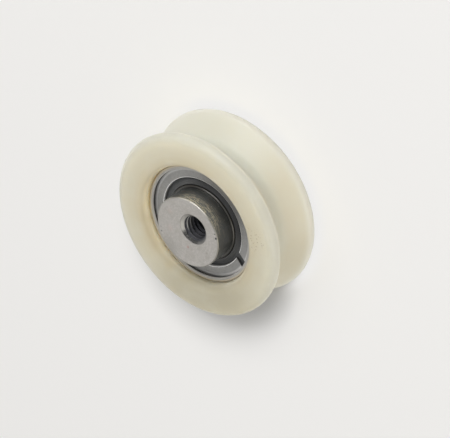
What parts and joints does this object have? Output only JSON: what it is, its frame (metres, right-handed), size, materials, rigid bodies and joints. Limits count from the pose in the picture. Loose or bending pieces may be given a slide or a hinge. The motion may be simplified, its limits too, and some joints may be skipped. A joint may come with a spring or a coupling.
{
  "type": "eccentric grooved roller",
  "caption": "Nylon V-groove roller on a sealed ball bearing, with an off-centre tapped steel hub that lets the roller be set against its rail by turning the hub on its bolt.",
  "frame": {"origin": "on the spin axis, in the plane of the tyre's rear face, on which the roller stands", "axes": "+Z along the spin axis towards the hub's tapped face; +X from the spin axis towards the off-centre tapped hole; +Y completes a right-handed frame"},
  "size_m": [0.0634, 0.0634, 0.025],
  "materials": {
    "natural_nylon": "natural cream nylon, slightly translucent, satin from the mould",
    "ring_steel": "ground bearing steel",
    "ball_steel": "polished chrome steel",
    "cage_steel": "pressed steel strip",
    "seal_rubber": "dark moulded rubber",
    "retaining_steel": "stamped spring steel, oiled",
    "hub_steel": "turned steel with fine turning marks and a film of oil"
  },
  "bodies": {
    "hub": {"eccentric_hub": "hub_steel", "inner_ring": "ring_steel"},
    "roller": {"roller_tyre": "natural_nylon", "outer_ring": "ring_steel", "front_seal": "seal_rubber", "rear_seal": "seal_rubber", "front_retaining_ring": "retaining_steel", "rear_retaining_ring": "retaining_steel"},
    "cage": {"cage_front": "cage_steel", "cage_rear": "cage_steel", "cage_rivets": "cage_steel"},
    "ball_1": {"ball_1": "ball_steel"},
    "ball_2": {"ball_2": "ball_steel"},
    "ball_3": {"ball_3": "ball_steel"},
    "ball_4": {"ball_4": "ball_steel"},
    "ball_5": {"ball_5": "ball_steel"},
    "ball_6": {"ball_6": "ball_steel"},
    "ball_7": {"ball_7": "ball_steel"},
    "ball_8": {"ball_8": "ball_steel"}
  },
  "joints": [
    {"name": "roller_spin", "type": "hinge", "parent": "hub", "child": "roller", "pos_m": [0, 0, 0.011], "axis": [0, 0, 1], "continuous": true},
    {"name": "cage_spin", "type": "hinge", "parent": "hub", "child": "cage", "pos_m": [0, 0, 0.011], "axis": [0, 0, 1], "continuous": true},
    {"name": "ball_1_spin", "type": "hinge", "parent": "cage", "child": "ball_1", "pos_m": [0.01508, 0, 0.011], "axis": [0, 0, 1], "continuous": true},
    {"name": "ball_2_spin", "type": "hinge", "parent": "cage", "child": "ball_2", "pos_m": [0.01066, 0.01066, 0.011], "axis": [0, 0, 1], "continuous": true},
    {"name": "ball_3_spin", "type": "hinge", "parent": "cage", "child": "ball_3", "pos_m": [0, 0.01508, 0.011], "axis": [0, 0, 1], "continuous": true},
    {"name": "ball_4_spin", "type": "hinge", "parent": "cage", "child": "ball_4", "pos_m": [-0.01066, 0.01066, 0.011], "axis": [0, 0, 1], "continuous": true},
    {"name": "ball_5_spin", "type": "hinge", "parent": "cage", "child": "ball_5", "pos_m": [-0.01508, 0, 0.011], "axis": [0, 0, 1], "continuous": true},
    {"name": "ball_6_spin", "type": "hinge", "parent": "cage", "child": "ball_6", "pos_m": [-0.01066, -0.01066, 0.011], "axis": [0, 0, 1], "continuous": true},
    {"name": "ball_7_spin", "type": "hinge", "parent": "cage", "child": "ball_7", "pos_m": [0, -0.01508, 0.011], "axis": [0, 0, 1], "continuous": true},
    {"name": "ball_8_spin", "type": "hinge", "parent": "cage", "child": "ball_8", "pos_m": [0.01066, -0.01066, 0.011], "axis": [0, 0, 1], "continuous": true}
  ],
  "couplings": [
    {"joint": "cage_spin", "follows": "roller_spin", "ratio": 0.60527},
    {"joint": "ball_1_spin", "follows": "roller_spin", "ratio": 2.2695},
    {"joint": "ball_2_spin", "follows": "roller_spin", "ratio": 2.2695},
    {"joint": "ball_3_spin", "follows": "roller_spin", "ratio": 2.2695},
    {"joint": "ball_4_spin", "follows": "roller_spin", "ratio": 2.2695},
    {"joint": "ball_5_spin", "follows": "roller_spin", "ratio": 2.2695},
    {"joint": "ball_6_spin", "follows": "roller_spin", "ratio": 2.2695},
    {"joint": "ball_7_spin", "follows": "roller_spin", "ratio": 2.2695},
    {"joint": "ball_8_spin", "follows": "roller_spin", "ratio": 2.2695}
  ]
}
